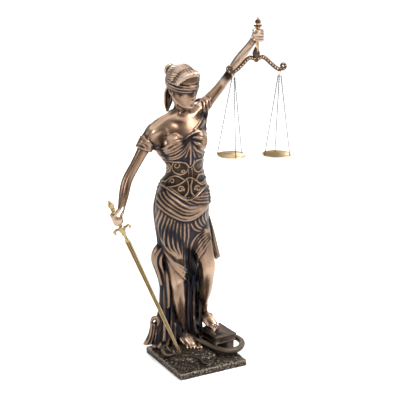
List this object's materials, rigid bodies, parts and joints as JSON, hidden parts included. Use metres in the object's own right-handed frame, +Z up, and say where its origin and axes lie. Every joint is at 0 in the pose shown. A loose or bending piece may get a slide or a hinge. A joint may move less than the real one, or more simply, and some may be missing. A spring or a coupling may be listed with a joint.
{
  "type": "statue",
  "caption": "Blindfolded robed woman on a square rocky base, a balance held up in one hand and a lowered sword in the other, cast and bronzed for a shelf or desk",
  "frame": {"origin": "centre of the flat underside of the square base", "axes": "+Z up, the woman faces -Y, the balance is held up towards +X and the sword hangs towards -X"},
  "size_m": [0.2549, 0.112, 0.4694],
  "materials": {
    "cast_bronze": "cast bronze colour, polished copper-brown highlights over near-black recesses",
    "antique_gold": "antique gold with a dark groove",
    "black_and_gold": "black metal with gilt beads and finial",
    "pale_gold": "pale satin gold",
    "chain_steel": "dull grey steel links"
  },
  "bodies": {
    "root": {"figure": "cast_bronze", "sword": "antique_gold", "balance": "black_and_gold", "pan_left": "pale_gold", "pan_right": "pale_gold", "chain_left_1": "chain_steel", "chain_left_2": "chain_steel", "chain_left_3": "chain_steel", "chain_right_1": "chain_steel", "chain_right_2": "chain_steel", "chain_right_3": "chain_steel"}
  },
  "joints": []
}
